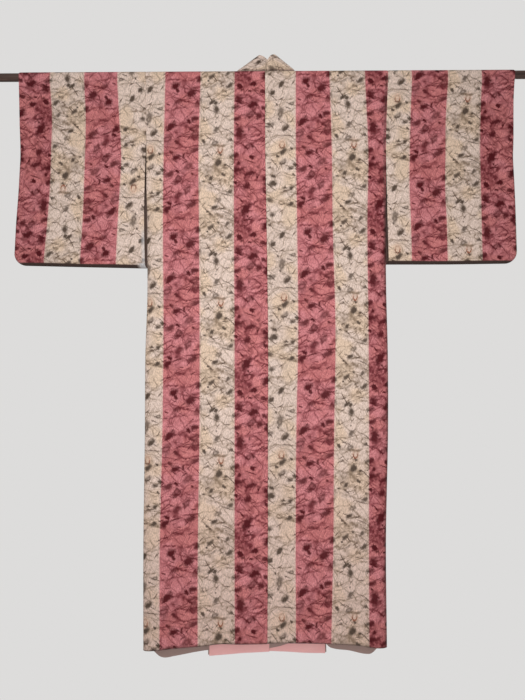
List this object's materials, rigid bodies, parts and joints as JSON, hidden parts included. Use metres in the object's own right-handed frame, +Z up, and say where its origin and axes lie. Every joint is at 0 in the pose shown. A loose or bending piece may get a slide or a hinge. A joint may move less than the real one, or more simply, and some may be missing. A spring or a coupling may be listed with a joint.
{
  "type": "kimono on a rod",
  "caption": "Silk kimono in broad cream and raspberry stripes, hung flat over a straight wooden rod with its sleeves spread and its left front lapped over the right.",
  "frame": {"origin": "the centre of the rod, which the garment hangs over", "axes": "+Z up, X along the rod with the wearer's left sleeve towards -X, the garment's back facing -Y and its fronts +Y"},
  "size_m": [1.44, 0.0364, 1.5207],
  "materials": {
    "striped_silk": "matte",
    "collar_silk": "matte",
    "lining_silk": "satin",
    "rod_wood": "satin"
  },
  "bodies": {
    "root": {"rod": "rod_wood", "body_left": "striped_silk", "body_right": "striped_silk", "sleeve_left": "striped_silk", "sleeve_right": "striped_silk", "okumi_left": "striped_silk", "okumi_right": "striped_silk", "collar": "collar_silk", "over_collar": "collar_silk", "hem_lining_left": "lining_silk", "hem_lining_right": "lining_silk"}
  },
  "joints": []
}
